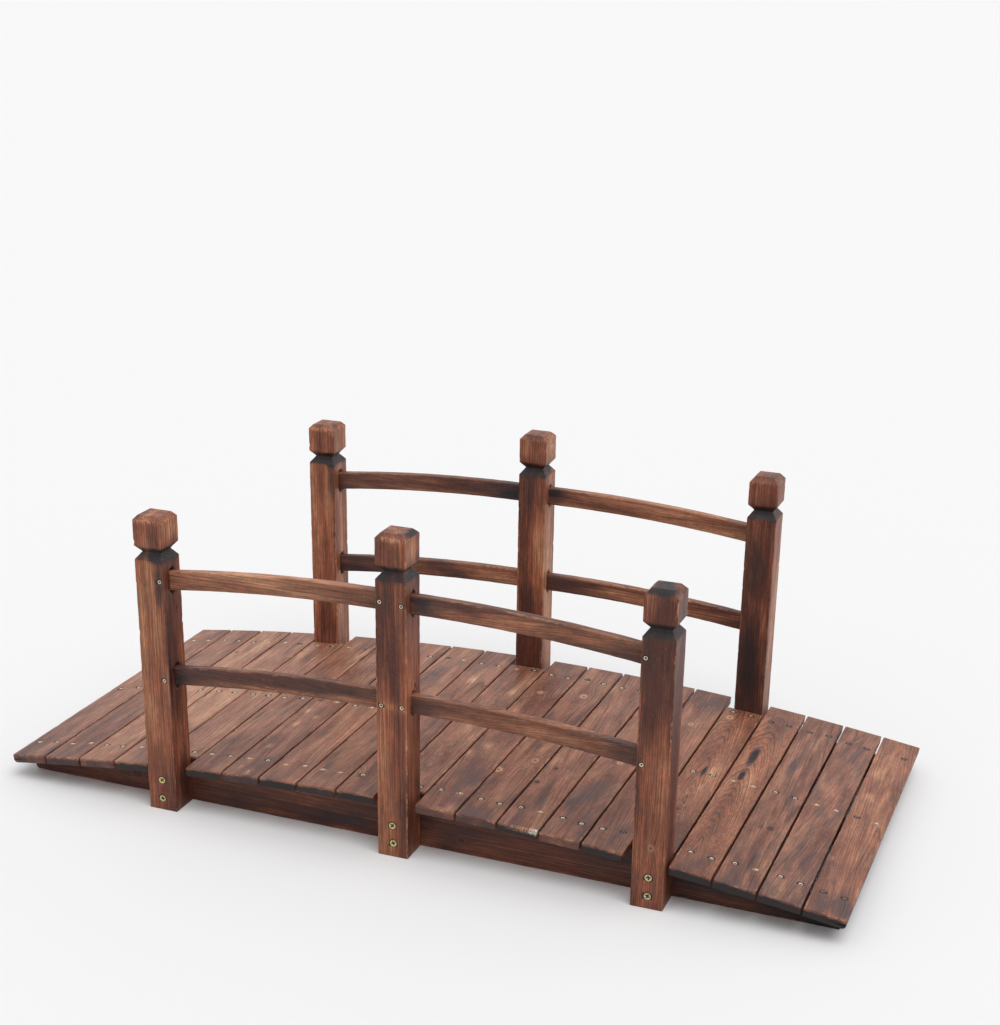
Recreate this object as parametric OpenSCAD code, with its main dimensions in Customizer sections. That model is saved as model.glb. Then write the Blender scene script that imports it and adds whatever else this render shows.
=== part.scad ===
// Arched garden footbridge of charred fir.
// Twenty-one cross planks lie on three stringers that are flat below and arched above. Three posts stand on
// each side against the outer stringers, and two arched rails run from post to post in blind mortises.
// Sizes are in millimetres. +X runs along the walk, +Y to the back, +Z up. The origin is on the ground,
// under the middle of the bridge.

/* [Deck] */
// Length over the top edges of the two end planks
deck_length = 1498.6; // [1300:0.1:1700]
// Length of a full plank, which is the width of the deck
deck_width = 673.1; // [640:0.1:900]
// Height of the walking surface over the ground at the two tips
tip_height = 43.7; // [34:0.1:60]
// Rise of the walking surface from the tips to the crown
deck_rise = 56.3; // [30:0.1:110]
// Thickness of every plank
plank_thickness = 15.2; // [12:0.1:22]
// Open joint between two planks
plank_gap = 4; // [2:0.5:8]
// Planks outside the end posts, at each end
outer_planks = 4; // [3:1:5]
// Full planks between two posts
bay_planks = 5; // [4:1:6]
// Radius of the eased long edges of a plank
plank_edge = 2; // [0.5:0.1:4]
// Radius of the lower outer edge of the two end planks, which meets the ramp of the path
nose_radius = 6; // [2:0.5:9]

/* [Stringers] */
// Thickness of each stringer
stringer_thickness = 30; // [18:0.5:45]
// Distance that the tip of the deck reaches beyond the ends of the stringers
tip_overhang = 14; // [5:0.5:40]
// Distance that a full plank reaches beyond the outer face of each outer stringer
side_overhang = 47.55; // [40:0.05:53]
// Height of the bevel under each end of a stringer
toe_bevel = 5; // [1:0.5:10]

/* [Posts] */
// Side of the square posts
post_side = 53.3; // [45:0.1:70]
// Height of the four end posts
end_post_height = 531; // [460:0.5:640]
// Height of the two middle posts
middle_post_height = 558.8; // [480:0.1:680]
// Distance that the end posts stand outward of the middle of the short plank between them
post_shift = 6; // [0:0.5:8]
// Height of the sloping top of a cap
cap_slope_height = 10; // [4:0.5:20]
// Distance that the sloping top draws in on each side
cap_slope_inset = 9; // [4:0.5:16]
// Height of the upright faces of a cap
cap_height = 42; // [30:0.5:60]
// Height of the undercut between a cap and its neck
neck_upper = 11.5; // [6:0.5:18]
// Height of the slope between the neck and the shaft
neck_lower = 12.5; // [6:0.5:18]
// Depth of the neck on each side
neck_depth = 9.8; // [4:0.1:14]

/* [Rails] */
// Distance from the top of an end post's shaft down to the upper rail's top edge
rail_below_end = 20.5; // [10:0.5:60]
// Distance from the top of a middle post's shaft down to the upper rail's top edge
rail_below_middle = 25.6; // [10:0.1:60]
// Distance from the upper rail down to the lower one
rail_drop = 170.5; // [120:0.5:220]
// Height of a rail
rail_height = 32; // [24:0.5:45]
// Thickness of a rail
rail_thickness = 15.2; // [10:0.1:22]
// Radius of the top edge of each rail
rail_radius = 2900; // [1200:10:5000]
// Distance from a post's outer face to the outer face of a rail
rail_setback = 19; // [12:0.5:28]
// Depth of the mortises in the sides of the posts
mortise_depth = 20; // [12:0.5:24]

/* [Fits] */
// Clearance between a rail's end and each wall of its mortise
mortise_fit = 0.3; // [0.1:0.05:0.6]
// Clearance between faces that are screwed together
joint_fit = 0.1; // [0.05:0.05:0.4]

/* [Hidden] */
$fn = 96;

// The walking surface is an arc over both tips and the crown.
deck_radius = (pow(deck_length / 2, 2) + pow(deck_rise, 2)) / (2 * deck_rise);
deck_angle = asin(deck_length / 2 / deck_radius);
crown_z = tip_height + deck_rise;
arc_centre_z = crown_z - deck_radius;

// Planks share the arc evenly, and the posts stand at the middles of three of them.
plank_count = 2 * outer_planks + 2 * bay_planks + 3;
deck_arc = 2 * deck_radius * deck_angle * PI / 180;
plank_pitch = (deck_arc + plank_gap) / plank_count;
plank_width = plank_pitch - plank_gap;
pitch_angle = plank_pitch / deck_radius * 180 / PI;
middle_plank = (plank_count - 1) / 2;
post_step = bay_planks + 1;
post_x = deck_radius * sin(post_step * pitch_angle) + post_shift;

// The posts stand against the outer faces of the outer stringers.
post_spacing = deck_width - 2 * side_overhang;

// The stringers' top edge is the arc on which the planks' undersides rest.
seat_radius = deck_radius - plank_thickness - joint_fit;
stringer_length = deck_length - 2 * tip_overhang;
stringer_y = post_spacing / 2 - stringer_thickness / 2;
short_plank = post_spacing - 2 * joint_fit;

// Heights of the parts of a post over its foot. The rails hang from the tops of the shafts.
head_height = cap_slope_height + cap_height + neck_upper + neck_lower;
end_shaft = end_post_height - head_height;
middle_shaft = middle_post_height - head_height;
rail_end_z = end_shaft - rail_below_end;
rail_middle_z = middle_shaft - rail_below_middle;

// The rails run between the facing sides of two posts, in the depth of the post that the setback gives.
post_y = post_spacing / 2 + joint_fit + post_side / 2;
bay_inner_x = post_side / 2;
bay_outer_x = post_x - post_side / 2;
rail_y = post_y + post_side / 2 - rail_setback - rail_thickness / 2;
tenon_length = mortise_depth - mortise_fit;
mortise_width = rail_thickness + 2 * mortise_fit;
mortise_radius = mortise_width / 2;
// A router bit leaves the mortise's ends round, so it runs on past the rail's square corners.
mortise_ease = mortise_radius + mortise_fit - sqrt(pow(mortise_radius, 2) - pow(rail_thickness / 2, 2));

// Centre of a rail's top arc, from the two points where it meets the posts' faces.
bay_span = bay_outer_x - bay_inner_x;
rail_fall = rail_middle_z - rail_end_z;
rail_chord = sqrt(pow(bay_span, 2) + pow(rail_fall, 2));
rail_arm = sqrt(pow(rail_radius, 2) - pow(rail_chord / 2, 2));
rail_centre_x = (bay_inner_x + bay_outer_x) / 2 - rail_arm * rail_fall / rail_chord;
rail_centre_z = (rail_middle_z + rail_end_z) / 2 - rail_arm * bay_span / rail_chord;
function rail_top(x) = rail_centre_z + sqrt(pow(rail_radius, 2) - pow(x - rail_centre_x, 2));
function rail_foot(x) = rail_centre_z + sqrt(pow(rail_radius - rail_height, 2) - pow(x - rail_centre_x, 2));

// Colours of the charred fir, as the photographed pieces show them.
plank_colour = "#7a5140";
post_colour = "#74432c";
rail_colour = "#63402f";
stringer_colour = "#4a2a1f";

SIDES = ["front", "back"];
PLACES = ["left", "middle", "right"];
LEVELS = ["upper", "lower"];
function plank_name(i) = str("plank_", i < 9 ? "0" : "", i + 1);
function side_sign(side) = side == "front" ? -1 : 1;
function place_sign(place) = place == "left" ? -1 : place == "right" ? 1 : 0;

// What a radius takes off an outer corner at the origin, with the wood towards -X and -Y.
module corner_cut(radius) {
    translate([-radius, -radius])
        difference() {
            square(2 * radius);
            circle(radius);
        }
}

// Outline of a board's end, with the middle of its top edge at the origin and a radius for each corner.
module board_section(width, thickness, top_left, top_right, low_right, low_left) {
    difference() {
        translate([-width / 2, -thickness]) square([width, thickness]);
        translate([width / 2, 0]) corner_cut(top_right);
        translate([width / 2, -thickness]) mirror([0, 1]) corner_cut(low_right);
        translate([-width / 2, 0]) mirror([1, 0]) corner_cut(top_left);
        translate([-width / 2, -thickness]) rotate(180) corner_cut(low_left);
    }
}

// One cross plank. Those at the posts end against the posts' inner faces.
module plank(i) {
    offset_count = i - middle_plank;
    at_post = offset_count == 0 || abs(offset_count) == post_step;
    length = at_post ? short_plank : deck_width;
    left_nose = i == 0 ? nose_radius : plank_edge;
    right_nose = i == plank_count - 1 ? nose_radius : plank_edge;
    color(plank_colour)
        translate([0, length / 2, arc_centre_z])
        rotate([90, 0, 0])
        rotate([0, 0, -offset_count * pitch_angle])
        translate([0, deck_radius])
        linear_extrude(length)
        board_section(plank_width, plank_thickness, plank_edge, plank_edge, right_nose, left_nose);
}

// One stringer: flat on the ground, arched under the planks, with its two toes bevelled.
module stringer(y) {
    color(stringer_colour)
        translate([0, y + stringer_thickness / 2, 0])
        rotate([90, 0, 0])
        linear_extrude(stringer_thickness)
        intersection() {
            translate([0, arc_centre_z]) circle(seat_radius, $fn = 720);
            polygon([
                [-stringer_length / 2, toe_bevel],
                [-stringer_length / 2 + toe_bevel, 0],
                [stringer_length / 2 - toe_bevel, 0],
                [stringer_length / 2, toe_bevel],
                [stringer_length / 2, crown_z],
                [-stringer_length / 2, crown_z]
            ]);
        }
}

// The shaft, the neck's two slopes and the cap, all cut from one square bar.
module post_bar(height) {
    shaft = height - head_height;
    cap_base = height - cap_slope_height - cap_height;
    side = post_side / 2;
    neck = side - neck_depth;
    crown = side - cap_slope_inset;
    outline = [
        [-side, 0],
        [side, 0],
        [side, shaft],
        [neck, shaft + neck_lower],
        [side, cap_base],
        [side, cap_base + cap_height],
        [crown, height],
        [-crown, height],
        [-side, cap_base + cap_height],
        [-side, cap_base],
        [-neck, shaft + neck_lower],
        [-side, shaft]
    ];
    intersection() {
        translate([0, side, 0]) rotate([90, 0, 0]) linear_extrude(post_side) polygon(outline);
        translate([-side, 0, 0]) rotate([90, 0, 90]) linear_extrude(post_side) polygon(outline);
    }
}

// Blind mortise in a post's +X side, for the end of a rail between its face_x and its tip_x.
module mortise(face_x, tip_x) {
    slot_top = max(rail_top(face_x), rail_top(tip_x)) + mortise_ease;
    slot_foot = min(rail_foot(face_x), rail_foot(tip_x)) - mortise_ease;
    translate([post_side / 2 - mortise_depth, 0, 0])
        rotate([90, 0, 90])
        linear_extrude(mortise_depth + 1) {
            translate([-mortise_radius, slot_foot + mortise_radius])
                square([mortise_width, slot_top - slot_foot - 2 * mortise_radius]);
            translate([0, slot_foot + mortise_radius]) circle(mortise_radius);
            translate([0, slot_top - mortise_radius]) circle(mortise_radius);
        }
}

// One post, with a mortise for each rail that it holds: two on an end post, four on a middle post.
module post(side, place) {
    out = side_sign(side);
    at = place_sign(place);
    height = at == 0 ? middle_post_height : end_post_height;
    face_x = at == 0 ? bay_inner_x : bay_outer_x;
    tip_x = at == 0 ? bay_inner_x - tenon_length : bay_outer_x + tenon_length;
    facing = at == 0 ? [-1, 1] : [-at];
    color(post_colour)
        translate([at * post_x, out * post_y, 0])
        difference() {
            post_bar(height);
            for (way = facing) for (drop = [0, rail_drop])
                translate([0, out * (rail_y - post_y), -drop])
                    mirror([way < 0 ? 1 : 0, 0, 0])
                    mortise(face_x, tip_x);
        }
}

// One arched rail, cut from a board, with its two ends housed in the mortises.
module rail(side, place, level) {
    drop = level == "upper" ? 0 : rail_drop;
    out = side_sign(side);
    color(rail_colour)
        mirror([place == "left" ? 1 : 0, 0, 0])
        translate([0, out * rail_y + rail_thickness / 2, -drop])
        rotate([90, 0, 0])
        linear_extrude(rail_thickness)
        intersection() {
            translate([rail_centre_x, rail_centre_z]) difference() {
                circle(rail_radius, $fn = 720);
                circle(rail_radius - rail_height, $fn = 720);
            }
            translate([bay_inner_x - tenon_length, rail_end_z - 3 * rail_height])
                square([bay_span + 2 * tenon_length, 5 * rail_height]);
        }
}

for (i = [0 : plank_count - 1])
    plank(i);

stringer(-stringer_y);  // stringer_front
stringer(0);  // stringer_middle
stringer(stringer_y);  // stringer_back

for (side = SIDES) for (place = PLACES)
    post(side, place);

for (side = SIDES) for (place = ["left", "right"]) for (level = LEVELS)
    rail(side, place, level);
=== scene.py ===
"""Looks of the arched garden footbridge of charred fir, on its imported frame.

Sizes are in metres. +X runs along the walk, +Y to the back, +Z up, and the ground is at zero.
"""

import bpy
import numpy as np
from mathutils import Matrix


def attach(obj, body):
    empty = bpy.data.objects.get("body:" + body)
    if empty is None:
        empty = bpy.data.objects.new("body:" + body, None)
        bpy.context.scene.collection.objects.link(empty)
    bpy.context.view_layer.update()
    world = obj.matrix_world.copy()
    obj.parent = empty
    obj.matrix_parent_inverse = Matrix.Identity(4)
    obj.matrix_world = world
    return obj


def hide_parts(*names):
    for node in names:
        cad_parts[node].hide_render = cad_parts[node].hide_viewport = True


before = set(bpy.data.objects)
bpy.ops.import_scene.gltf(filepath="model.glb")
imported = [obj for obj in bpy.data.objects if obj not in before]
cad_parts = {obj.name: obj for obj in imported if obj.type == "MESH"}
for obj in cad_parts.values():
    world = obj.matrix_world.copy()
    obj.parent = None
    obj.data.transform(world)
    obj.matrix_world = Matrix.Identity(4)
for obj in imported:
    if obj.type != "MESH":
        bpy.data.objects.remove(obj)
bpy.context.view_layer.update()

# Stringers: three boards of fir on edge, flat on the ground and sawn to the deck's arc above, with bevelled
# toes. They were charred with a torch and brushed, so the hard late wood stands up and the arrises are
# worn.
DECK_LENGTH, DECK_RISE, CROWN = 1.4986, 0.0563, 0.1
DECK_RADIUS = ((DECK_LENGTH / 2) ** 2 + DECK_RISE**2) / (2 * DECK_RISE)
ARC_CENTRE = CROWN - DECK_RADIUS
PLANK_THICK = 0.0152
ARRIS_STEPS = 3
STRINGER_ROWS = {"stringer_front": -0.274, "stringer_middle": 0.0, "stringer_back": 0.274}


def unevenness(seed, *runs):
    """Smooth random values, mostly within -1 to 1: the sum of twelve cosines with random directions, lengths
    and phases. Each run pairs a coordinate with the length over which it varies."""
    draw = np.random.default_rng(seed)
    total = 0.0
    for _ in range(12):
        turn = draw.uniform(0, 2 * np.pi)
        for coordinate, length in runs:
            turn = turn + coordinate * (draw.normal() * 4.0 / length)
        total = total + np.cos(turn)
    return total / 3.5


def between(count):
    """Even places between -1 and 1, without the ends."""
    return np.linspace(-1, 1, count + 2)[1:-1]


def round_the_bar(top, right, foot, left):
    """Points round a bar's end, clockwise from the top side. Each has a place on the square from -1 to 1, and
    the direction of the arris's radius there: a point is place * (half side - radius) + direction * radius.
    Each side takes its places between -1 and 1, and an arris takes its steps over a quarter turn. The last
    result tells the sides 0 to 3 and the arrises 4 to 7 after them apart."""
    sides = []
    for n, places in enumerate((top, right, foot, left)):
        places = np.asarray(places, float)
        out = np.array([np.sin(n * np.pi / 2), np.cos(n * np.pi / 2)])
        run = np.array([out[1], -out[0]])
        flat = places[:, None] * run + out
        turn = np.linspace(0, np.pi / 2, ARRIS_STEPS + 1)[:, None]
        arris = np.cos(turn) * out + np.sin(turn) * run
        sides.append((flat, np.tile(out, (len(flat), 1)), np.full(len(flat), n)))
        sides.append((np.tile(out + run, (len(turn), 1)), arris, np.full(len(turn), n + 4)))
    return tuple(np.concatenate([side[k] for side in sides]) for k in range(3))


def along_the_bar(marks, easing=0.0012):
    """Rings along a bar: three that shrink over each flat end, four round each eased end, and one at each
    mark between. Returns each ring's place along the bar, its inset from the sides, and its shrink."""
    marks = np.asarray(marks, float)
    low, high = marks[0], marks[-1]
    turn = np.radians([0, 30, 60, 90])
    flat, nose = np.array([0.3, 0.65, 0.94]), easing * (1 - np.cos(turn))
    inside = marks[(marks > low + 1.2 * easing) & (marks < high - 1.2 * easing)]
    place = np.concatenate([np.full(3, low), low + nose, inside, high - nose[::-1], np.full(3, high)])
    eased = easing * (1 - np.sin(turn))
    inset = np.concatenate([np.full(3, easing), eased, inside * 0, eased[::-1], np.full(3, easing)])
    shrink = np.concatenate([flat, np.ones(len(inside) + 8), flat[::-1]])
    return place, inset, shrink


def marks_through(low, high, step, *fixed):
    """Places from low to high that pass through every fixed place and lie at most a step apart between."""
    held = np.unique(np.concatenate([[low, high], *[np.atleast_1d(f) for f in fixed]]))
    held = held[(held >= low) & (held <= high)]
    pairs = zip(held[:-1], held[1:])
    runs = [np.linspace(a, b, int(np.ceil((b - a) / step - 1e-6)) + 1)[:-1] for a, b in pairs]
    return np.concatenate([*runs, [high]])


def skin(name, rings, material, **marks):
    """Closed mesh over rings of points, of shape (shell, ring, point, xyz) or (ring, point, xyz). Each point
    joins its neighbours along and round, the end rings close on their own middles, and faces turn outwards by
    the sign of the enclosed volume. Each mark is a value or vector for every point, kept as an attribute."""
    rings = rings if rings.ndim == 4 else rings[None]
    shells, n, m, _ = rings.shape

    def spread(values):
        values = np.asarray(values, float).reshape(shells, n, m, -1)
        ends = values[:, [0, -1]].mean(2)
        values = np.concatenate([values.reshape(shells, n * m, -1), ends], axis=1)
        return values.reshape(shells * (n * m + 2), -1)

    i, j = np.meshgrid(np.arange(n - 1), np.arange(m), indexing="ij")
    after = (j + 1) % m
    quads = np.stack([i * m + j, i * m + after, (i + 1) * m + after, (i + 1) * m + j], -1).reshape(-1, 4)
    j, after = np.arange(m), (np.arange(m) + 1) % m
    low = np.stack([np.full(m, n * m), after, j], -1)
    high = np.stack([np.full(m, n * m + 1), (n - 1) * m + j, (n - 1) * m + after], -1)
    fans = np.concatenate([low, high])
    step = (np.arange(shells) * (n * m + 2))[:, None, None]
    quads, fans = (quads + step).reshape(-1, 4), (fans + step).reshape(-1, 3)
    points = spread(rings)
    a, b, c = (points[quads[:, k]] for k in (0, 1, 2))
    d, e, f = (points[quads[:, k]] for k in (0, 2, 3))
    if (np.cross(a, b) * c).sum() + (np.cross(d, e) * f).sum() < 0:
        quads, fans = quads[:, ::-1], fans[:, ::-1]

    mesh = bpy.data.meshes.new(name)
    mesh.vertices.add(len(points))
    mesh.vertices.foreach_set("co", points.astype(np.float32).ravel())
    mesh.loops.add(quads.size + fans.size)
    mesh.loops.foreach_set("vertex_index", np.concatenate([quads.ravel(), fans.ravel()]).astype(np.int32))
    starts = np.concatenate([np.arange(len(quads)) * 4, quads.size + np.arange(len(fans)) * 3])
    mesh.polygons.add(len(starts))
    mesh.polygons.foreach_set("loop_start", starts.astype(np.int32))
    mesh.polygons.foreach_set("use_smooth", np.ones(len(starts), bool))
    mesh.update(calc_edges=True)
    for mark, values in marks.items():
        values = spread(values)
        kind, key = ("FLOAT_VECTOR", "vector") if values.shape[1] == 3 else ("FLOAT", "value")
        mesh.attributes.new(mark, kind, "POINT").data.foreach_set(key, values.astype(np.float32).ravel())
    mesh.materials.append(material)
    piece = bpy.data.objects.new(name, mesh)
    bpy.context.scene.collection.objects.link(piece)
    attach(piece, "root")
    return piece


def swatch(red, green, blue, alpha=1.0):
    """A colour as a paint swatch names it, from 0 to 255, turned into linear light."""
    share = np.array([red, green, blue]) / 255
    return (*np.where(share <= 0.04045, share / 12.92, ((share + 0.055) / 1.055) ** 2.4), alpha)


def nodes_in(tree):
    """Short ways to add nodes to a tree. Each takes other nodes' outputs to link or plain values to set, and
    gives its own output: put for any node, sums for maths, level for a smooth step from one value to another,
    mixed for two colours, and ramp, with its alpha, for colours along a value."""

    def feed(sockets, sources):
        for socket, source in zip(sockets, sources):
            if isinstance(source, bpy.types.NodeSocket):
                tree.links.new(source, socket)
            elif source is not None:
                socket.default_value = source

    def put(kind, *sources, out=0, **settings):
        node = tree.nodes.new("ShaderNode" + kind)
        for key, value in settings.items():
            setattr(node, key, value)
        feed(node.inputs, sources)
        return node.outputs[out]

    def sums(operation, *sources, clamp=False):
        return put("Math", *sources, operation=operation, use_clamp=clamp)

    def level(value, low, high, to_low=0.0, to_high=1.0):
        return put("MapRange", value, low, high, to_low, to_high, interpolation_type="SMOOTHSTEP")

    def mixed(share, first, second, blend="MIX"):
        node = tree.nodes.new("ShaderNodeMix")
        node.data_type, node.blend_type = "RGBA", blend
        feed((node.inputs[0], node.inputs[6], node.inputs[7]), (share, first, second))
        return node.outputs[2]

    def ramp(value, *stops):
        colours = tree.nodes.new("ShaderNodeValToRGB")
        for _ in stops[2:]:
            colours.color_ramp.elements.new(0.5)
        for element, (place, colour) in zip(colours.color_ramp.elements, stops):
            element.position, element.color = place, colour
        feed(colours.inputs, [value])
        return colours.outputs[0], colours.outputs[1]

    return put, sums, level, mixed, ramp


def charred_fir(name, pale, deep, line, soot_and_shade, raw, ring, lines, streaky=0.23, patchy=0.14, varied=1.5,
                sawn=0.0, flecked=0.0, gloss=0.5, ember=(24, 21, 22)):
    """Fir that was charred and brushed. The mesh carries 'wood', its place in the log in millimetres with the
    pith along X, and 'knot', the place from the nearest knot in that knot's radii. Rings are the fraction of
    the distance from the pith over the ring's width, swollen round knots. The wood goes from deep through
    pale to raw as 'tone' rises; on some faces 'tone' also carries painted light and shade. Soot lies where
    'scorch_and_shade' and the char's own patches pass a level: real char, and painted shade in recesses and
    shadows. 'wear_and_highlight' bares raw wood: real wear, and a painted highlight on some lit faces. A
    grain is noise whose lengths are given in millimetres, first along the log and then across it twice."""
    pale, deep, line, soot_and_shade, raw, ember = (swatch(*colour) for colour in (pale, deep, line, soot_and_shade, raw, ember))
    material = bpy.data.materials.new(name)
    material.use_nodes = True
    tree = material.node_tree
    timber = tree.nodes["Principled BSDF"]
    put, sums, level, mixed, ramp = nodes_in(tree)

    def stretched(vector, *lengths):
        shares = [1 / length if length else 0 for length in lengths]
        return put("VectorMath", vector, shares, operation="MULTIPLY")

    def grain(lengths, detail=2.0, rough=0.5):
        return put("TexNoise", stretched(wood, *lengths), None, 1.0, detail, rough)

    def grey(value):
        return value, value, value, 1.0

    def shaded(colour, value, low, high, spread=0.16):
        factor, _ = ramp(value, (0.5 - spread, grey(low)), (0.5 + spread, grey(high)))
        return mixed(1.0, colour, factor, "MULTIPLY")

    wood, knot = (put("Attribute", out="Vector", attribute_name=name) for name in ("wood", "knot"))
    wear_and_highlight, scorch_and_shade, fresh, tone = (
        put("Attribute", out="Fac", attribute_name=name) for name in ("wear_and_highlight", "scorch_and_shade", "fresh", "tone")
    )

    # Round a knot the rings swell outwards, further along the grain than across it.
    near = put("SeparateXYZ", knot, out=2)
    reach = put("VectorMath", stretched(knot, 5.0, 1.9, 0), operation="LENGTH", out=1)
    swell = sums("MULTIPLY", sums("EXPONENT", sums("MULTIPLY", sums("MULTIPLY", reach, reach), -1.0)), near)
    radius = put("VectorMath", stretched(wood, 0, 1, 1), operation="LENGTH", out=1)
    wander = sums("MULTIPLY_ADD", grain((300, 42, 42)), 9.0, radius)
    wander = sums("MULTIPLY_ADD", grain((48, 8, 8), 3), 1.6, wander)
    wander = sums("MULTIPLY_ADD", swell, 9.0, wander)
    unequal = put("TexNoise", None, sums("DIVIDE", wander, 12.0), 1.0, 1.0, noise_dimensions="1D")
    phase = sums("DIVIDE", sums("MULTIPLY_ADD", unequal, 7.0, wander), ring)
    profile = ((0.0, 0.0), (0.36, 0.08), (0.64, 0.5), (0.8, 1.0), (0.94, 1.0), (1.0, 0.0))
    late, _ = ramp(sums("FRACT", phase), *((place, grey(dark)) for place, dark in profile))
    each_ring = put("TexWhiteNoise", None, sums("FLOOR", phase), noise_dimensions="1D")
    late = sums("MULTIPLY", late, level(each_ring, 0.0, 1.0, 0.4, 1.0))

    fibre = grain((60, 1.25, 1.25), 4, 0.7)
    streak = grain((150, 2.6, 2.6))
    ticks = level(grain((15, 0.35, 0.35)), 0.6, 0.76)
    shade = grain((210, 26, 30), 3, 0.55)
    mottle = grain((18, 10, 10), 4, 0.6)
    blush = grain((60, 15, 15), 3, 0.55)
    char = grain((95, 28, 28), 4, 0.6)

    warmth = sums("MULTIPLY_ADD", tone, 0.3, sums("MULTIPLY_ADD", shade, varied, 0.42 - 0.5 * varied))
    colour, _ = ramp(warmth, (0.1, deep), (0.55, pale), (1.0, raw))
    colour = shaded(colour, mottle, 1 - patchy, 1 + patchy)
    tinge, _ = ramp(blush, (0.38, (0.97, 1.015, 1.0, 1)), (0.62, (1.06, 0.97, 0.98, 1)))
    colour = mixed(1.0, colour, tinge, "MULTIPLY")
    colour = shaded(colour, streak, 1 - streaky, 1 + streaky)
    burnt = level(sums("MULTIPLY_ADD", char, 1.7, scorch_and_shade), 1.05, 1.95)
    colour = mixed(burnt, colour, mixed(level(scorch_and_shade, 0.8, 1.2), soot_and_shade, ember))
    colour = mixed(sums("MULTIPLY", late, lines), colour, line)
    colour = shaded(colour, fibre, 0.8 - 0.4 * streaky, 1.18 + 0.4 * streaky, 0.08)
    colour = mixed(sums("MULTIPLY", ticks, 0.5), colour, line)
    if flecked:
        fleck = level(grain((6, 1.5, 1.5), 1), 0.69, 0.75, 0.0, flecked)
        colour = mixed(sums("MULTIPLY", fleck, sums("SUBTRACT", 1.0, burnt)), colour, raw)
    if sawn:
        colour = shaded(colour, grain((1.5, 16, 16), 2, 0.6), 1 - sawn, 1 + sawn)
    rubbed = sums("MULTIPLY", wear_and_highlight, level(grain((9, 2.2, 2.2), 3), 0.38, 0.62), clamp=True)
    bare = mixed(level(wear_and_highlight, 1.2, 2.0), raw, swatch(226, 222, 216))
    colour = mixed(rubbed, colour, mixed(sums("MULTIPLY", late, 0.5), bare, line))

    # A knot is a dark or an amber eye with its own rings, a black seam round it, and a pale halo.
    eye = put("VectorMath", stretched(knot, 2.6, 2.0, 0), operation="LENGTH", out=1)
    eye = sums("ADD", eye, sums("MULTIPLY", sums("SUBTRACT", grain((5, 2.5, 2.5)), 0.5), 0.18))
    core, halo, seam = (112, 70, 52), (206, 152, 118), (124, 78, 60)
    dead, here = ramp(
        eye, (0.0, swatch(38, 24, 20, 0.95)), (0.2, swatch(74, 42, 30, 0.95)),
        (0.4, swatch(46, 28, 24, 0.95)), (0.5, swatch(104, 62, 44, 0.7)), (0.75, swatch(120, 74, 54, 0.0)),
    )
    live, shown = ramp(
        eye, (0.0, swatch(*core, 0.8)), (0.1, swatch(*core, 0.6)), (0.24, swatch(*halo, 0.9)),
        (0.46, swatch(*halo, 0.8)), (0.6, swatch(*seam, 0.45)), (0.85, swatch(*halo, 0.0)),
    )
    here = sums("MULTIPLY", mixed(fresh, here, shown), level(near, 0.3, 0.9))
    colour = mixed(here, colour, mixed(fresh, dead, live))
    tree.links.new(colour, timber.inputs["Base Color"])

    height = sums("MULTIPLY_ADD", late, 0.8, sums("MULTIPLY", fibre, 0.7))
    height = sums("MULTIPLY_ADD", ticks, -0.3, height)
    bump = tree.nodes.new("ShaderNodeBump")
    bump.inputs["Strength"].default_value = 0.9
    bump.inputs["Distance"].default_value = 0.00045
    tree.links.new(height, bump.inputs["Height"])
    tree.links.new(bump.outputs["Normal"], timber.inputs["Normal"])
    timber.inputs["Specular IOR Level"].default_value = 0.4
    sheen = sums("MULTIPLY_ADD", grain((60, 9, 9)), 0.22, gloss - 0.11)
    tree.links.new(sheen, timber.inputs["Roughness"])
    return material


def in_the_log(along, across, up, seed, pith, lean):
    """Millimetres from the pith of the log: along the grain, and across it from a pith that leans by a share
    of the way along. A random length keeps each piece's pattern its own."""
    start = np.random.default_rng(seed).uniform(0, 9000)
    along, across, up = (1000 * value for value in np.broadcast_arrays(along, across, up))
    return np.stack([along + start, across - pith[0] + lean[0] * along, up - pith[1] + lean[1] * along], -1)


def from_knots(along, across, knots):
    """Place from the nearest knot in its radii, with a last value of 1 near it that is 0 beyond 45 mm, and
    whether the knot is a fresh amber one. A knot is (along, across, radius, fresh), in millimetres."""
    along, across = (1000 * value for value in np.broadcast_arrays(along, across))
    if not knots:
        return np.stack([along * 0 + 99.0, along * 0, along * 0], -1), along * 0
    knots = np.array(knots, float)
    du, dv = along[..., None] - knots[:, 0], across[..., None] - knots[:, 1]
    nearest = np.argmin(np.hypot(du, dv), -1)
    du, dv = (np.take_along_axis(d, nearest[..., None], -1)[..., 0] for d in (du, dv))
    size, fresh = knots[nearest, 2], knots[nearest, 3]
    return np.stack([du / size, dv / size, np.clip((45 - np.hypot(du, dv)) / 12, 0, 1)], -1), fresh


def marked(marks, kind, along, across, crisp=1):
    """Strength of one kind of mark at each point, for marks of (along, across, half length, half width,
    strength) in millimetres. A mark is full at its middle and half at its edge: e to the minus 0.7 times the
    square of the distance in its half sizes, raised to the given crispness."""
    total = np.zeros(np.broadcast(along, across).shape)
    for at, beside, long, wide, strength in marks.get(kind, ()):
        away = ((1000 * along - at) / long) ** 2 + ((1000 * across - beside) / wide) ** 2
        total = total + strength * np.exp(-0.7 * np.minimum(away, 9) ** crisp)
    return total


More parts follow.
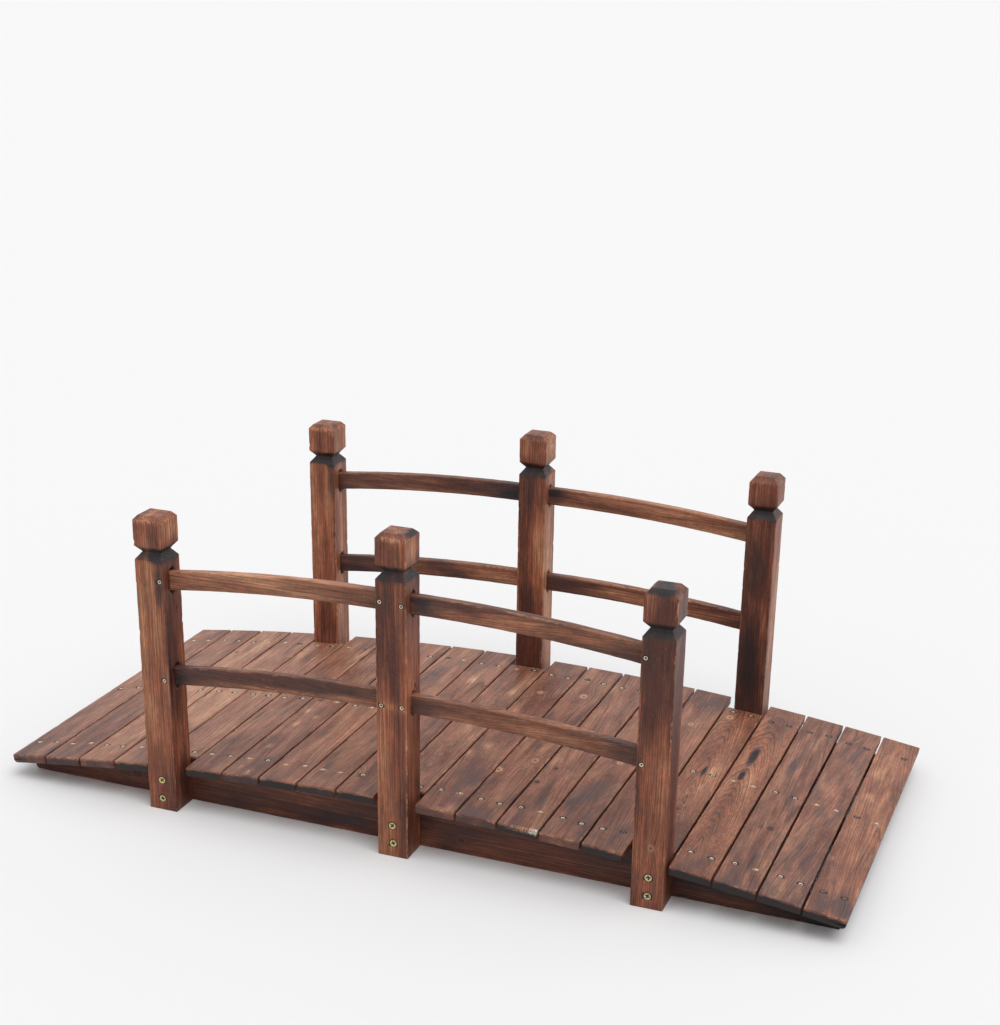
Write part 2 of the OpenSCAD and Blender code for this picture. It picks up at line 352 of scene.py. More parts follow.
STRINGER_FIR = charred_fir(
    "stringer_fir", (126, 74, 55), (78, 43, 34), (36, 19, 16), (48, 33, 32), (176, 116, 84),
    ring=3.2, lines=0.7,
)
STRINGER_HALF_THICK, TOE, PLANK_PAST_TOE, PLANK_CLEAR = 0.015, 0.005, 0.014, 0.0001
HALF_LENGTH = DECK_LENGTH / 2 - PLANK_PAST_TOE
STRINGER_KNOTS = [(-620, 30, 6, 0), (-100, 25, 5, 0), (520, 30, 8, 0)]
U, V, side = round_the_bar(between(4), between(12), between(4), between(12))
bevels = [TOE - HALF_LENGTH, HALF_LENGTH - TOE]
place, inset, shrink = along_the_bar(marks_through(-HALF_LENGTH, HALF_LENGTH, 0.0062, bevels))
foot = np.clip(TOE - (HALF_LENGTH - abs(place)), 0, TOE)
crest = ARC_CENTRE + np.sqrt((DECK_RADIUS - PLANK_THICK - PLANK_CLEAR) ** 2 - place**2)
tall, taken = (crest - foot)[:, None] / 2, inset[:, None]
for seed, (name, row) in enumerate(STRINGER_ROWS.items(), 11):
    x = np.broadcast_to(place[:, None], (len(place), len(U)))
    radius = 0.0012 + 0.0006 * np.clip(unevenness(seed, (x, 0.05), (side * 1.0, 1.0)), -1, 1)
    across = (U[:, 0] * (STRINGER_HALF_THICK - radius - taken) + V[:, 0] * radius) * shrink[:, None]
    z = (crest + foot)[:, None] / 2 + (U[:, 1] * (tall - radius - taken) + V[:, 1] * radius) * shrink[:, None]
    rub = (side >= 4) * np.clip(0.15 + 0.6 * unevenness(seed + 40, (x, 0.09), (side * 1.0, 1.0)), 0, 1)
    char = 0.25 + 0.75 * np.clip((x - 0.25) / 0.25, 0, 1) + 0.3 * unevenness(seed + 41, (x, 0.22), (z, 0.08))
    char = np.maximum(char, 1.2 * np.clip((abs(x) - HALF_LENGTH + 0.004) / 0.004, 0, 1))
    tone = 0.45 * unevenness(seed + 42, (x, 0.3), (z, 0.06)) + 0.1
    mirrored = 1 - 2 * (seed % 2)
    knot, fresh = from_knots(x * mirrored, z, STRINGER_KNOTS)
    wood = in_the_log(x, across, z, seed, (mirrored * 50.0, -30.0 - 12 * (seed % 3)), (0, 0.012))
    rings = np.stack([x, row + across, z], -1)
    looks = dict(wood=wood, knot=knot, fresh=fresh, wear_and_highlight=rub, scorch_and_shade=char, tone=tone)
    piece = skin(name + "_board", rings, STRINGER_FIR, **looks)
    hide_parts(name)

# Posts: six square bars of fir, turned over a table saw to leave a cap on a V-shaped neck. The necks kept
# their soot, the rails' mortises are routed blind into the facing sides, and each foot is screwed to the
# outer stringer.
POST_HALF, POST_ARRIS, NECK_HALF = 0.02665, 0.0011, 0.01685
POST_TALL = {"end": 0.531, "middle": 0.5588}
NECK_DOWN, WAIST_UP, CAP_UP = 0.076, 0.0125, 0.024
POST_X, POST_Y = 0.436394, 0.31575
MORTISE = {"end": (0.393619, 0.440544), "middle": (0.418948, 0.463244)}
MORTISE_WIDE, MORTISE_DEEP, RAIL_DROP = 0.0158, 0.020, 0.1705
BIG_SCREWS, RAIL_SCREW_OFF = (0.0225, 0.0555), 0.018
RAIL_SCREWS = {"end": (0.4205, 0.2450), "middle": (0.4437, 0.2700)}
# Radius of a screw's seat, radius of its rim, and depth. The grid of squares round a screw has this pitch.
BIG_SEAT, RAIL_SEAT, DECK_SEAT = (0.0069, 0.0075, 0.0014), (0.0041, 0.0048, 0.0012), (0.0048, 0.0054, 0.0011)
SEAT_GRID = 0.002
POST_FIR = charred_fir(
    "post_fir", (163, 99, 72), (93, 48, 35), (54, 27, 20), (66, 42, 38), (214, 152, 112),
    ring=3.5, lines=0.65, streaky=0.24, patchy=0.18, flecked=0.3, gloss=0.48, ember=(38, 33, 35),
)
# Each screw's kind, place and turn, and a random share for its colour and dirt.
screw_places = []


def seated(u, v, centre, aim, seat, rim, depth):
    """Sinks a screw's seat into a face. The squares of the grid about the centre become rings about the aim,
    of which the last ring in the seat and the first on the rim have those radii, and the squares further out
    ease back. Returns both coordinates and how deep each point lies."""
    du, dv = u - centre[0], v - centre[1]
    square, away = np.maximum(abs(du), abs(dv)), np.hypot(du, dv) + 1e-12
    last = int(round(seat / SEAT_GRID))
    loops = SEAT_GRID * np.arange(last + 4)
    easing = [rim, (rim + loops[last + 3]) / 2, loops[last + 3]]
    radii = np.concatenate([np.linspace(0, seat, last + 1), easing])
    around = np.interp(square, loops, [*np.ones(last + 2), 0.5, 0.0])
    ring = np.interp(square, loops, radii) / away
    u = u + around * (du * (ring - 1) + aim[0] - centre[0])
    v = v + around * (dv * (ring - 1) + aim[1] - centre[1])
    return u, v, np.interp(square, loops, [*np.full(last + 1, depth), 0.0, 0.0, 0.0])


def post(name, out, place, seed, slope, pith, tone, marks):
    """A bar whose square section follows an outline of half sides over height: the shaft, the neck's two
    slopes, the cap and its sloping top of the given inset and height, eased at every corner. Mortises push
    the grid inwards where its lines bend round the slot's round ends. Marks are placed by their height, and
    by their distance from the middle of the seen face round to the face on its right."""
    kind = "end" if place else "middle"
    tall = POST_TALL[kind]
    shaft = tall - NECK_DOWN
    corners = np.array([shaft, shaft + WAIST_UP, shaft + CAP_UP, tall - slope[1]])
    outline_z = np.array([0, *corners, tall])
    outline_h = np.array([POST_HALF, POST_HALF, NECK_HALF, POST_HALF, POST_HALF, POST_HALF - slope[0]])

    half_slot, wall = MORTISE_WIDE / 2, 0.0003
    slots = [np.array(MORTISE[kind]) - drop for drop in (0, RAIL_DROP)]
    fixed = [corners + step for step in (-0.0007, 0, 0.0007)]
    for low, high in slots:
        fixed.append([low + half_slot - wall, low + half_slot, high - half_slot, high - half_slot + wall])
    for height in BIG_SCREWS:
        fixed.append(height + SEAT_GRID * np.arange(-6, 7))
    for height in RAIL_SCREWS[kind]:
        fixed.append(height + SEAT_GRID * np.arange(-5, 6))
    z, inset, shrink = along_the_bar(marks_through(0, tall, 0.0055, *fixed))
    h = np.interp(z, outline_z, outline_h)
    h = h - 0.0002 * np.isclose(z[:, None], corners[[0, 2, 3]], atol=1e-6).any(1)
    h = h + 0.0003 * np.isclose(z, corners[1], atol=1e-6)

    flat = POST_HALF - POST_ARRIS
    beside = np.array([half_slot, half_slot + wall])
    off = np.array([0.0024, 0.0052, 0.0085, 0.0125])
    sides = np.concatenate([off - flat, -beside[::-1], [-0.005, 0, 0.005], beside, flat - off[::-1]]) / flat
    U, V, side = round_the_bar(SEAT_GRID * np.arange(-12, 13) / flat, sides, between(12), sides)
    arris = POST_ARRIS + 0.0006 * np.clip(unevenness(seed, (z[:, None], 0.03), (side * 1.0, 1.0)), -1, 1)
    chip = np.clip(unevenness(seed + 7, (z[:, None], 0.012), (side * 1.0, 0.8)) - 0.9, 0, 1)
    chip = 0.0016 * chip * (side >= 4)
    size = (h - inset)[:, None]
    p = (U[:, 0] * (size - arris) + V[:, 0] * (arris - chip)) * shrink[:, None]
    q = (U[:, 1] * (size - arris) + V[:, 1] * (arris - chip)) * shrink[:, None]
    z = np.broadcast_to(z[:, None], p.shape).copy()
    height = z.copy()
    girth = p * (2 + out * q / POST_HALF)

    # The mortises, in the side or sides that face a rail.
    sunk = np.zeros_like(p)
    for low, high in slots:
        for end, way in ((low + half_slot, -1), (high - half_slot, 1)):
            past = way * (height - end)
            round_end = np.sqrt(np.clip((half_slot + np.clip(past, 0, wall)) ** 2 - q**2, 0, None))
            share = np.interp(past, [-0.012, 0, wall, 0.022], [0, 1, 1, 0])
            z += way * share * round_end * np.isin(side, (1, 3))
        within = (height > low + half_slot - wall / 2) & (height < high - half_slot + wall / 2)
        within &= abs(q) < half_slot + wall / 2
        for face, needed in ((1, place <= 0), (3, place >= 0)):
            sunk += needed * within * (side == face) * MORTISE_DEEP
    p -= np.sign(p) * sunk

    # Seats of the two big screws and of the rail screws, in the outer face. Each screw strays a little.
    planned = [("post", 0, high, 0.0012, 0.0008, BIG_SEAT) for high in BIG_SCREWS]
    for high in RAIL_SCREWS[kind]:
        for way in (-1, 1) if not place else (-place,):
            planned.append(("rail", way * RAIL_SCREW_OFF, high, 0.0008, 0.001, RAIL_SEAT))
    front = side == 0
    u, v, depth = p[:, front], z[:, front], np.zeros_like(p[:, front])
    draw = np.random.default_rng(seed)
    for use, beside, high, stray_x, stray_z, seat in planned:
        aim = (beside + stray_x * draw.normal(), high + stray_z * draw.normal())
        u, v, dip = seated(u, v, (beside, high), aim, *seat)
        depth += dip
        at = (place * POST_X + aim[0], out * (POST_Y + POST_HALF), aim[1])
        screw_places.append((use, *at, draw.uniform(0, 360), draw.uniform()))
    p[:, front], z[:, front] = u, v
    q[:, front] -= depth
    sunk[:, front] += depth

    neck = shaft + np.array([-0.008, -0.0012, 0.0008, 0.0125, 0.016, 0.022, 0.025])
    char = np.interp(height, neck, [0, 0.35, 0.85, 1.0, 1.1, 0.6, 0.1])
    char = char * (1 + 0.2 * unevenness(seed + 3, (z, 0.02), (p, 0.02), (q, 0.02)))
    # Painted shade: the floors of the mortises and the seats of the screws are made ember black, for the
    # shade inside them.
    char = np.maximum(char, 1.4 * (sunk > 0)) + marked(marks, "soot_and_shade", z, girth)
    crown = height > tall - slope[1] + 0.0005
    char = char + crown * np.clip(0.22 + 0.3 * unevenness(seed + 8, (p, 0.03), (q, 0.02)), 0, 1)
    tone = tone + 0.35 * unevenness(seed + 4, (z, 0.25), (girth, 0.05)) + marked(marks, "tone", z, girth)
    rub = (side >= 4) * np.clip(0.25 + 0.6 * unevenness(seed + 5, (z, 0.05), (side * 1.0, 0.7)), 0, 1)
    brow = 0.6 * np.isclose(height, tall - slope[1], atol=0.001)
    rub = np.maximum(rub, brow * np.clip(unevenness(seed + 6, (p, 0.02), (q, 0.02)), 0, 1))
    rub = (np.clip(rub + 900 * chip, 0, 1) + marked(marks, "wear_and_highlight", z, girth)) * (1 - np.clip(char, 0, 1))
    knot, fresh = from_knots(z, girth, marks.get("knot", ()))
    wood = in_the_log(z, p, q, seed, pith, draw.uniform(-0.02, 0.02, 2))
    rings = np.stack([place * POST_X + p, out * (POST_Y + q), z], -1)
    looks = dict(wood=wood, knot=knot, fresh=fresh, wear_and_highlight=rub, scorch_and_shade=char, tone=tone)
    piece = skin(name + "_timber", rings, POST_FIR, **looks)
    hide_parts(name)


# A mark is (height, girth, half height, half girth, strength), and a knot (height, girth, radius, how fresh).
# Marks at a girth of about 54 lie on the face to the right. The tone marks there are partly painted light:
# they paint how brightly each post's right face and cap is lit, as painted shade where they darken it and as
# a painted highlight where they lighten it.
post("post_front_left", -1, -1, 101, (0.007, 0.0078), (70, 20), 0.55, dict(
    soot_and_shade=[
        (415, 16, 52, 12, 1.0), (258, 32, 85, 4.5, 1.3), (440, 60, 30, 22, 0.5), (500, 4, 14, 26, 0.3),
        (60, 54, 30, 24, 0.7),
    ],
    tone=[
        (410, -10, 50, 14, 0.6), (320, 0, 40, 22, 0.7), (160, 0, 60, 24, 0.4), (60, 0, 45, 26, -0.5),
        (240, 56, 240, 24, -1.8), (128, 52, 44, 10, 1.4), (505, 0, 16, 24, -0.3), (505, 54, 16, 24, 1.8),
    ],
    wear_and_highlight=[(523, -4, 3, 20, 1.5), (522, 44, 3, 12, 1.3)],
    knot=[(366, 62, 3.5, 0), (136, 56, 4, 0.3)],
))
post("post_front_middle", -1, 0, 102, (0.0074, 0.0082), (52, -24), -0.2, dict(
    soot_and_shade=[(455, -12, 44, 16, 0.6), (120, 70, 40, 14, 0.6), (465, 66, 20, 16, 0.5), (555, 58, 4, 24, 1.1)],
    tone=[
        (360, -8, 60, 18, -0.6), (270, 0, 7, 22, 1.1), (180, 0, 50, 26, 0.3), (330, 45, 60, 16, 0.7),
        (530, 50, 14, 24, 1.9),
    ],
    wear_and_highlight=[(266, 22, 6, 3, 0.7), (200, 27, 62, 1.6, 0.7), (550, 6, 3.4, 18, 1.7)],
    knot=[(300, 60, 3.0, 0)],
))
post("post_front_right", -1, 1, 103, (0.009, 0.01), (-48, 26), -0.15, dict(
    soot_and_shade=[
        (415, -4, 60, 28, 0.5), (160, 2, 40, 26, 0.6), (527, 0, 5, 26, 1.3), (290, -20, 60, 6, 0.4),
        (430, 60, 22, 20, 0.4), (90, 60, 50, 20, 0.6),
    ],
    tone=[
        (390, -4, 80, 28, -0.9), (255, 4, 45, 18, 0.8), (70, 0, 34, 26, 0.3), (210, 52, 210, 22, -1.3),
        (505, 54, 18, 24, -1.2),
    ],
    wear_and_highlight=[(480, 27, 50, 2, 0.8)],
    knot=[(107, 3, 5.5, 0.6)],
))
post("post_back_left", 1, -1, 104, (0.007, 0.0078), (58, 10), 0.4, dict(
    soot_and_shade=[(420, 22, 56, 9, 0.8), (250, 55, 40, 22, 0.4), (440, 66, 26, 14, 0.4), (462, 0, 8, 26, 0.4)],
    tone=[(500, 0, 18, 30, -0.5), (330, 62, 60, 14, 0.3), (280, 0, 60, 20, 0.3), (130, 0, 40, 24, -0.6)],
    wear_and_highlight=[(523, 0, 3, 20, 1.2)],
))
# On this post the wear marks on the right face and cap add to the painted highlight there.
post("post_back_middle", 1, 0, 105, (0.0078, 0.0085), (-60, -16), -0.75, dict(
    soot_and_shade=[(450, 0, 44, 28, 0.7), (240, -4, 60, 22, 0.7), (110, 0, 36, 28, 0.5), (430, 40, 20, 10, 0.3)],
    tone=[(350, 18, 50, 8, 1.0), (530, 0, 18, 30, 1.2), (300, 54, 200, 24, 2.6)],
    wear_and_highlight=[(536, 54, 18, 24, 1.6), (330, 50, 110, 14, 0.5)],
))
post("post_back_right", 1, 1, 106, (0.009, 0.0105), (64, 22), -0.6, dict(
    soot_and_shade=[(160, -4, 170, 34, 1.1), (400, -10, 60, 26, 0.5)],
    tone=[(300, 54, 220, 24, 1.5), (505, 0, 16, 30, 0.3)],
))

# Rails: eight arched bars sawn from board, so the grain runs straight through while the edges curve. Their
# ends were charred the most, and sit in the posts' mortises with a gap above and below.
RAIL_FIR = charred_fir(
    "rail_fir", (166, 110, 83), (92, 55, 44), (58, 33, 27), (84, 56, 52), (212, 156, 120),
    ring=2.9, lines=0.6, streaky=0.2, patchy=0.16, flecked=0.3, sawn=0.08, gloss=0.48, ember=(34, 31, 34),
)
RAIL_RADIUS, RAIL_HIGH, RAIL_HALF_THICK, RAIL_Y = 2.9, 0.032, 0.0076, 0.3158
RAIL_CENTRE_X, RAIL_CENTRE_Z, TENON = 0.0470361, -2.4427283, 0.0197
# Soot, then tone, each at the rail's end by the middle post, at its middle and at its outer end, and then
# its marks: (distance from the middle of the bridge, height over the rail's own middle, half length, half
# height, strength).
RAIL_LOOKS = {
    "front_left_upper": ((0.35, 0.0, 0.3), (0.0, 0.8, 0.6), dict(
        soot_and_shade=[(300, 8, 50, 5, 0.5)],
        tone=[(190, -6, 60, 6, 0.6)],
    )),
    "front_left_lower": ((0.4, 0.5, 0.55), (-0.7, -0.8, -0.9), dict(
        soot_and_shade=[(405, 0, 22, 40, 0.6), (220, -12, 160, 5, -0.35)],
        tone=[(220, -12, 160, 5, 1.4), (90, -10, 50, 7, 1.4)],
        wear_and_highlight=[(235, -12, 90, 3.5, 0.8)],
    )),
    "front_right_upper": ((0.3, 0.15, 0.35), (-0.3, 0.0, -0.4), dict(
        soot_and_shade=[(40, 0, 26, 30, 0.65)],
        tone=[(230, 4, 60, 6, 0.5)],
    )),
    "front_right_lower": ((0.5, 0.2, 0.4), (-0.3, 0.0, -0.8), dict(
        soot_and_shade=[(70, 0, 40, 30, 0.3), (390, 0, 30, 30, 0.4)],
    )),
    "back_left_upper": ((0.7, 0.4, 0.6), (-0.6, -0.5, -0.5), dict(soot_and_shade=[(60, 0, 50, 30, 0.4)])),
    "back_left_lower": ((0.0, 0.4, 0.9), (0.7, -0.3, -0.2), dict(soot_and_shade=[(200, 0, 50, 20, 0.4)])),
    "back_right_upper": ((0.3, 0.0, 0.0), (0.2, 0.7, 0.6), dict(soot_and_shade=[(40, 0, 20, 20, 0.6)])),
    "back_right_lower": ((0.65, 0.1, 0.35), (-0.4, 0.4, -0.2), dict(soot_and_shade=[(80, 0, 50, 20, 0.2)])),
}
U, V, side = round_the_bar(between(5), between(12), between(5), between(12))
inner, outer = POST_HALF - TENON, POST_X - POST_HALF + TENON
place, inset, shrink = along_the_bar(marks_through(inner, outer, 0.0046))
crest = RAIL_CENTRE_Z + np.sqrt(RAIL_RADIUS**2 - (place - RAIL_CENTRE_X) ** 2)
foot = RAIL_CENTRE_Z + np.sqrt((RAIL_RADIUS - RAIL_HIGH) ** 2 - (place - RAIL_CENTRE_X) ** 2)
tall, taken = (crest - foot)[:, None] / 2, inset[:, None]
for seed, (name, (soot_and_shade, lightness, marks)) in enumerate(RAIL_LOOKS.items(), 201):
    face, bay, step = name.split("_")
    out, way = (-1 if face == "front" else 1), (-1 if bay == "left" else 1)
    drop = RAIL_DROP if step == "lower" else 0
    x = np.broadcast_to(place[:, None], (len(place), len(U)))
    radius = np.clip(unevenness(seed, (x, 0.04), (side * 1.0, 1.0)), -1, 1)
    radius = 0.0013 + 0.0011 * (V[:, 1] > 0) + 0.0005 * radius
    across = (U[:, 0] * (RAIL_HALF_THICK - radius - taken) + V[:, 0] * radius) * shrink[:, None]
    rise = (U[:, 1] * (tall - radius - taken) + V[:, 1] * radius) * shrink[:, None]
    z = (crest + foot)[:, None] / 2 + rise - drop
    share, top = (x - inner) / (outer - inner), V[:, 1] > 0.6
    near, middle, far = soot_and_shade
    char = np.interp(share, [0.12, 0.35, 0.65, 0.88], [near, middle, middle, far])
    char = char + 0.15 * unevenness(seed + 3, (x, 0.12), (z, 0.03)) - 0.15 * top
    char = char + marked(marks, "soot_and_shade", x, rise)
    near, middle, far = lightness
    tone = np.interp(share, [0.12, 0.35, 0.65, 0.88], [near, middle, middle, far])
    tone = tone + 0.3 * unevenness(seed + 4, (x, 0.15), (z, 0.02)) + 0.25 * top
    tone = tone + marked(marks, "tone", x, rise)
    rub = 0.2 + 0.3 * unevenness(seed + 5, (x, 0.09), (side * 1.0, 0.7)) + 0.2 * (rise > 0)
    rub = (side >= 4) * np.clip(rub, 0, 1) * np.clip(1.3 - 1.6 * char, 0.15, 1)
    rub = rub + marked(marks, "wear_and_highlight", x, rise) * np.clip(unevenness(seed + 6, (x, 0.03), (z, 0.004)), 0, 1)
    draw = np.random.default_rng(seed)
    knot, fresh = from_knots(x, z, ())
    pith = (draw.uniform(-60, 60), 440 - 1000 * drop + draw.choice([-1, 1]) * draw.uniform(30, 70))
    wood = in_the_log(x, across, z, seed, pith, draw.uniform(-0.04, 0.04, 2))
    rings = np.stack([way * x, out * RAIL_Y + across, z], -1)
    looks = dict(wood=wood, knot=knot, fresh=fresh, wear_and_highlight=rub, scorch_and_shade=char, tone=tone)
    piece = skin(f"rail_{name}_bar", rings, RAIL_FIR, **looks)
    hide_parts("rail_" + name)

# Planks: twenty-one boards of fir laid across the stringers with open joints, two screws at every stringer.
# Those at the posts are shorter. The sawn ends are burnt black, and raw wood shows where an edge is knocked.
BOARD = dict(patchy=0.15, varied=1.15, sawn=0.05, flecked=0.7, gloss=0.46, ember=(16, 13, 14))
PLANK_FIR = charred_fir(
    "plank_fir", (170, 118, 93), (118, 72, 56), (68, 41, 34), (90, 67, 66), (212, 160, 126),
    ring=2.7, lines=0.6, streaky=0.12, **BOARD,
)
FIGURED_FIR = charred_fir(
    "figured_fir", (170, 113, 86), (118, 71, 55), (60, 37, 31), (90, 67, 66), (212, 156, 120),
    ring=2.4, lines=0.7, streaky=0.14, **BOARD,
)
# Each plank from the left: soot, tone, how burnt its ends are, pith (beside the middle, above the top), its
# leans, and its marks, in millimetres towards the back and towards the right: (back, right, half length,
# half width, strength). A knot is (back, right, radius, how fresh).
PLANK_LOOKS = [
    (0.25, 0.2, 0.9, (30, -70), (0.02, 0.006), dict(
        soot_and_shade=[(-290, 0, 45, 40, 0.5)],
        tone=[(0, -33, 340, 4, 0.9)],
    )),
    (0.15, -0.2, 1, (-40, -50), (-0.03, -0.009), dict(
        soot_and_shade=[(-80, 20, 60, 12, 0.4)],
        tone=[(-180, 0, 150, 40, -0.3)],
    )),
    (0.0, 0.8, 0.8, (20, -30), (0.02, 0.006), dict(
        tone=[(0, 0, 90, 40, 0.5), (240, 5, 80, 6, 0.9)],
        knot=[(208, -23, 3, 0)],
    )),
    (0.0, 0.6, 1.2, (-60, -60), (0, 0), dict(
        soot_and_shade=[(-230, -10, 50, 12, 0.4), (200, 18, 60, 10, 0.4)],
        tone=[(0, 0, 110, 40, 0.8)],
    )),
    (0.0, 0.4, 1.1, (50, -80), (0.04, 0.012), dict(
        soot_and_shade=[(120, -20, 70, 10, 0.45)],
        tone=[(-180, 5, 70, 20, 0.3)],
    )),
    (0.1, 0.2, 1.4, (10, -40), (-0.05, -0.015), dict(
        soot_and_shade=[(40, 10, 70, 14, 0.4), (-297, 19, 30, 12, 0.5)],
        tone=[(-290, 0, 90, 40, -0.6)],
        eye=[(-90, -22, 24, 2, 0.8)],
    )),
    (0.1, -0.2, 1, (-30, -60), (0.05, 0.015), dict(
        tone=[
            (-290, 0, 90, 40, -0.6), (-212, -9, 8, 4, 2.4), (-108, -10, 8, 4, 2.4), (-47, -17, 8, 4, 2.2),
            (-72, 11, 7, 4, 2.2),
        ],
        wear_and_highlight=[(-320, 8, 8, 4, 1.3), (-305, -14, 6, 4, 0.8)],
    )),
    (0.1, 0.2, 1.5, (40, -50), (0.02, 0.006), dict(
        soot_and_shade=[(60, 12, 90, 12, 0.45), (290, 0, 40, 36, 0.3)],
        tone=[(-182, -5, 36, 5, 1.3)],
    )),
    (0.15, 0.25, 1.1, (-50, -35), (-0.04, -0.012), dict(
        soot_and_shade=[(200, -10, 60, 16, 0.4)],
        wear_and_highlight=[(-152, -6, 5, 3, 1.0)],
    )),
    (0.15, -0.15, 1.3, (25, -60), (0.03, 0.009), dict(
        soot_and_shade=[(-40, 14, 80, 12, 0.4), (290, 0, 40, 36, 0.3)],
        tone=[(187, -4, 14, 8, 1.6)],
        knot=[(-270, -19, 5, 0)],
    )),
    (0.1, 0.0, 1.1, (0, -25), (0, 0), dict(
        tone=[(158, 16, 16, 7, 1.6)],
        knot=[(-187, 0, 4, 0.5), (-142, 1, 3.5, 0.5), (-97, 0, 4, 0.5), (98, 0, 4, 0.5), (143, -1, 4, 0.5)],
    )),
    (0.25, -0.3, 0.8, (-45, -45), (0.05, 0.015), dict(
        soot_and_shade=[(-180, 12, 45, 22, 0.6)],
        tone=[
            (-117, -30, 10, 5, 2.2), (-75, -10, 12, 7, 2.2), (190, 22, 20, 7, 1.6), (-322, 25, 14, 9, 1.8),
        ],
        wear_and_highlight=[(-331, 4, 4, 16, 0.5)],
        knot=[(180, -7, 5, 1)],
    )),
    (0.15, -0.1, 0.9, (15, -35), (-0.02, -0.006), dict(
        soot_and_shade=[(-317, 2, 16, 14, 0.8), (90, -20, 60, 8, 0.4)],
        eye=[(-40, 0, 18, 3, 0.9)],
        knot=[(-157, -30, 7, 1), (-97, 14, 7, 0.7), (198, 1, 7, 1)],
    )),
    (0.15, 0.0, 1.5, (-20, -55), (0.06, 0.018), dict(
        wear_and_highlight=[(-335, 28, 5, 7, 2.4), (-336, 4, 2.5, 16, 0.9)],
        eye=[(103, 26, 30, 5, 0.6)],
        knot=[(-172, -26, 4.5, 0), (-110, -15, 4, 0)],
    )),
    (0.2, -0.1, 0.7, (35, -45), (-0.06, -0.018), dict(
        soot_and_shade=[(-175, 0, 62, 34, 0.55)],
        tone=[(-300, 0, 35, 30, 0.2), (60, -20, 90, 8, 0.8)],
        knot=[(-37, 5, 5, 1)],
    )),
    (0.15, -0.1, 1.2, (-35, -65), (0.03, 0.009), dict(
        soot_and_shade=[(290, 0, 40, 36, 0.5)],
        tone=[(-290, 0, 40, 30, 0.6)],
        knot=[(178, -1, 5, 1)],
    )),
    # Painted shadow: this short plank's soot mark and its darkest tone mark at the front end stand partly for
    # the post's shadow beside it, and partly for dark wood.
    (0.05, 0.1, 1.1, (-4, -14), (0.02, 0.07), dict(
        soot_and_shade=[(-270, 0, 50, 40, 0.75)],
        tone=[(14, 14, 16, 5, 1.4), (30, 18, 110, 9, 0.8), (-250, 0, 70, 40, -1.6)],
        eye=[(6, -1, 26, 4, 1.1)],
        knot=[(-147, -4, 4, 0), (245, -17, 7, 1)],
    )),
    (0.05, 0.2, 1.3, (-11, -30), (0.0, 0.1), dict(
        tone=[(50, 8, 110, 12, 0.9), (50, -28, 110, 7, 0.7), (260, 0, 90, 40, -0.6)],
        eye=[(-46, -11, 11, 2.5, 0.7), (28, -11, 20, 5, 1.0), (109, -11, 40, 7.5, 1.0)],
    )),
    (0.25, -0.1, 1.3, (25, -35), (0.05, 0.015), dict(
        soot_and_shade=[(120, -12, 40, 9, 0.4)],
        tone=[(230, 5, 40, 20, 0.4), (280, 0, 70, 40, -0.6)],
        eye=[(-235, 5, 52, 4, 0.6), (-130, -9, 7, 4, 0.8)],
        knot=[(-127, 6, 6, 0)],
    )),
    (0.25, -0.1, 1.3, (-25, -50), (-0.07, -0.021), dict(
        soot_and_shade=[(-202, 0, 36, 26, 0.4), (-22, 5, 36, 22, 0.45), (220, 0, 34, 24, 0.45)],
        tone=[(-310, -20, 30, 12, 1.0), (90, 0, 40, 24, 0.7)],
    )),
    (0.1, 0.0, 1.4, (20, -40), (0.06, 0.018), dict(
        soot_and_shade=[(-309, 12, 20, 20, 0.7)],
        tone=[
            (-293, -7, 5, 4, 2.4), (-161, -26, 6, 4, 2.4), (85, -13, 13, 8, 2.0), (183, -17, 20, 9, 2.0),
            (0, 22, 46, 8, 1.2), (140, 10, 180, 5, 0.8),
        ],
    )),
]
PLANKS, PLANK_GAP = 21, 0.004
DECK_ARC = 2 * DECK_RADIUS * np.arcsin(DECK_LENGTH / 2 / DECK_RADIUS)
PITCH = (DECK_ARC + PLANK_GAP) / PLANKS
HALF_WIDE, HALF_THICK = (PITCH - PLANK_GAP) / 2, PLANK_THICK / 2
LONG_HALF, SHORT_HALF, AT_POSTS, FIGURED, SPLINTERED = 0.33655, 0.2889, (4, 10, 16), (16, 17, 20), 13
TIP_ARRIS, TIP_SHARE = 0.006, 0.9935
SCREW_ROWS, SCREW_GRID, SCREW_OFF = (-0.270, 0.0, 0.270), 0.016, 0.0172
top = SEAT_GRID * np.arange(-15, 16) / (HALF_WIDE - 0.002)
U, V, side = round_the_bar(top, [-0.4, 0.4], between(7), [-0.4, 0.4])
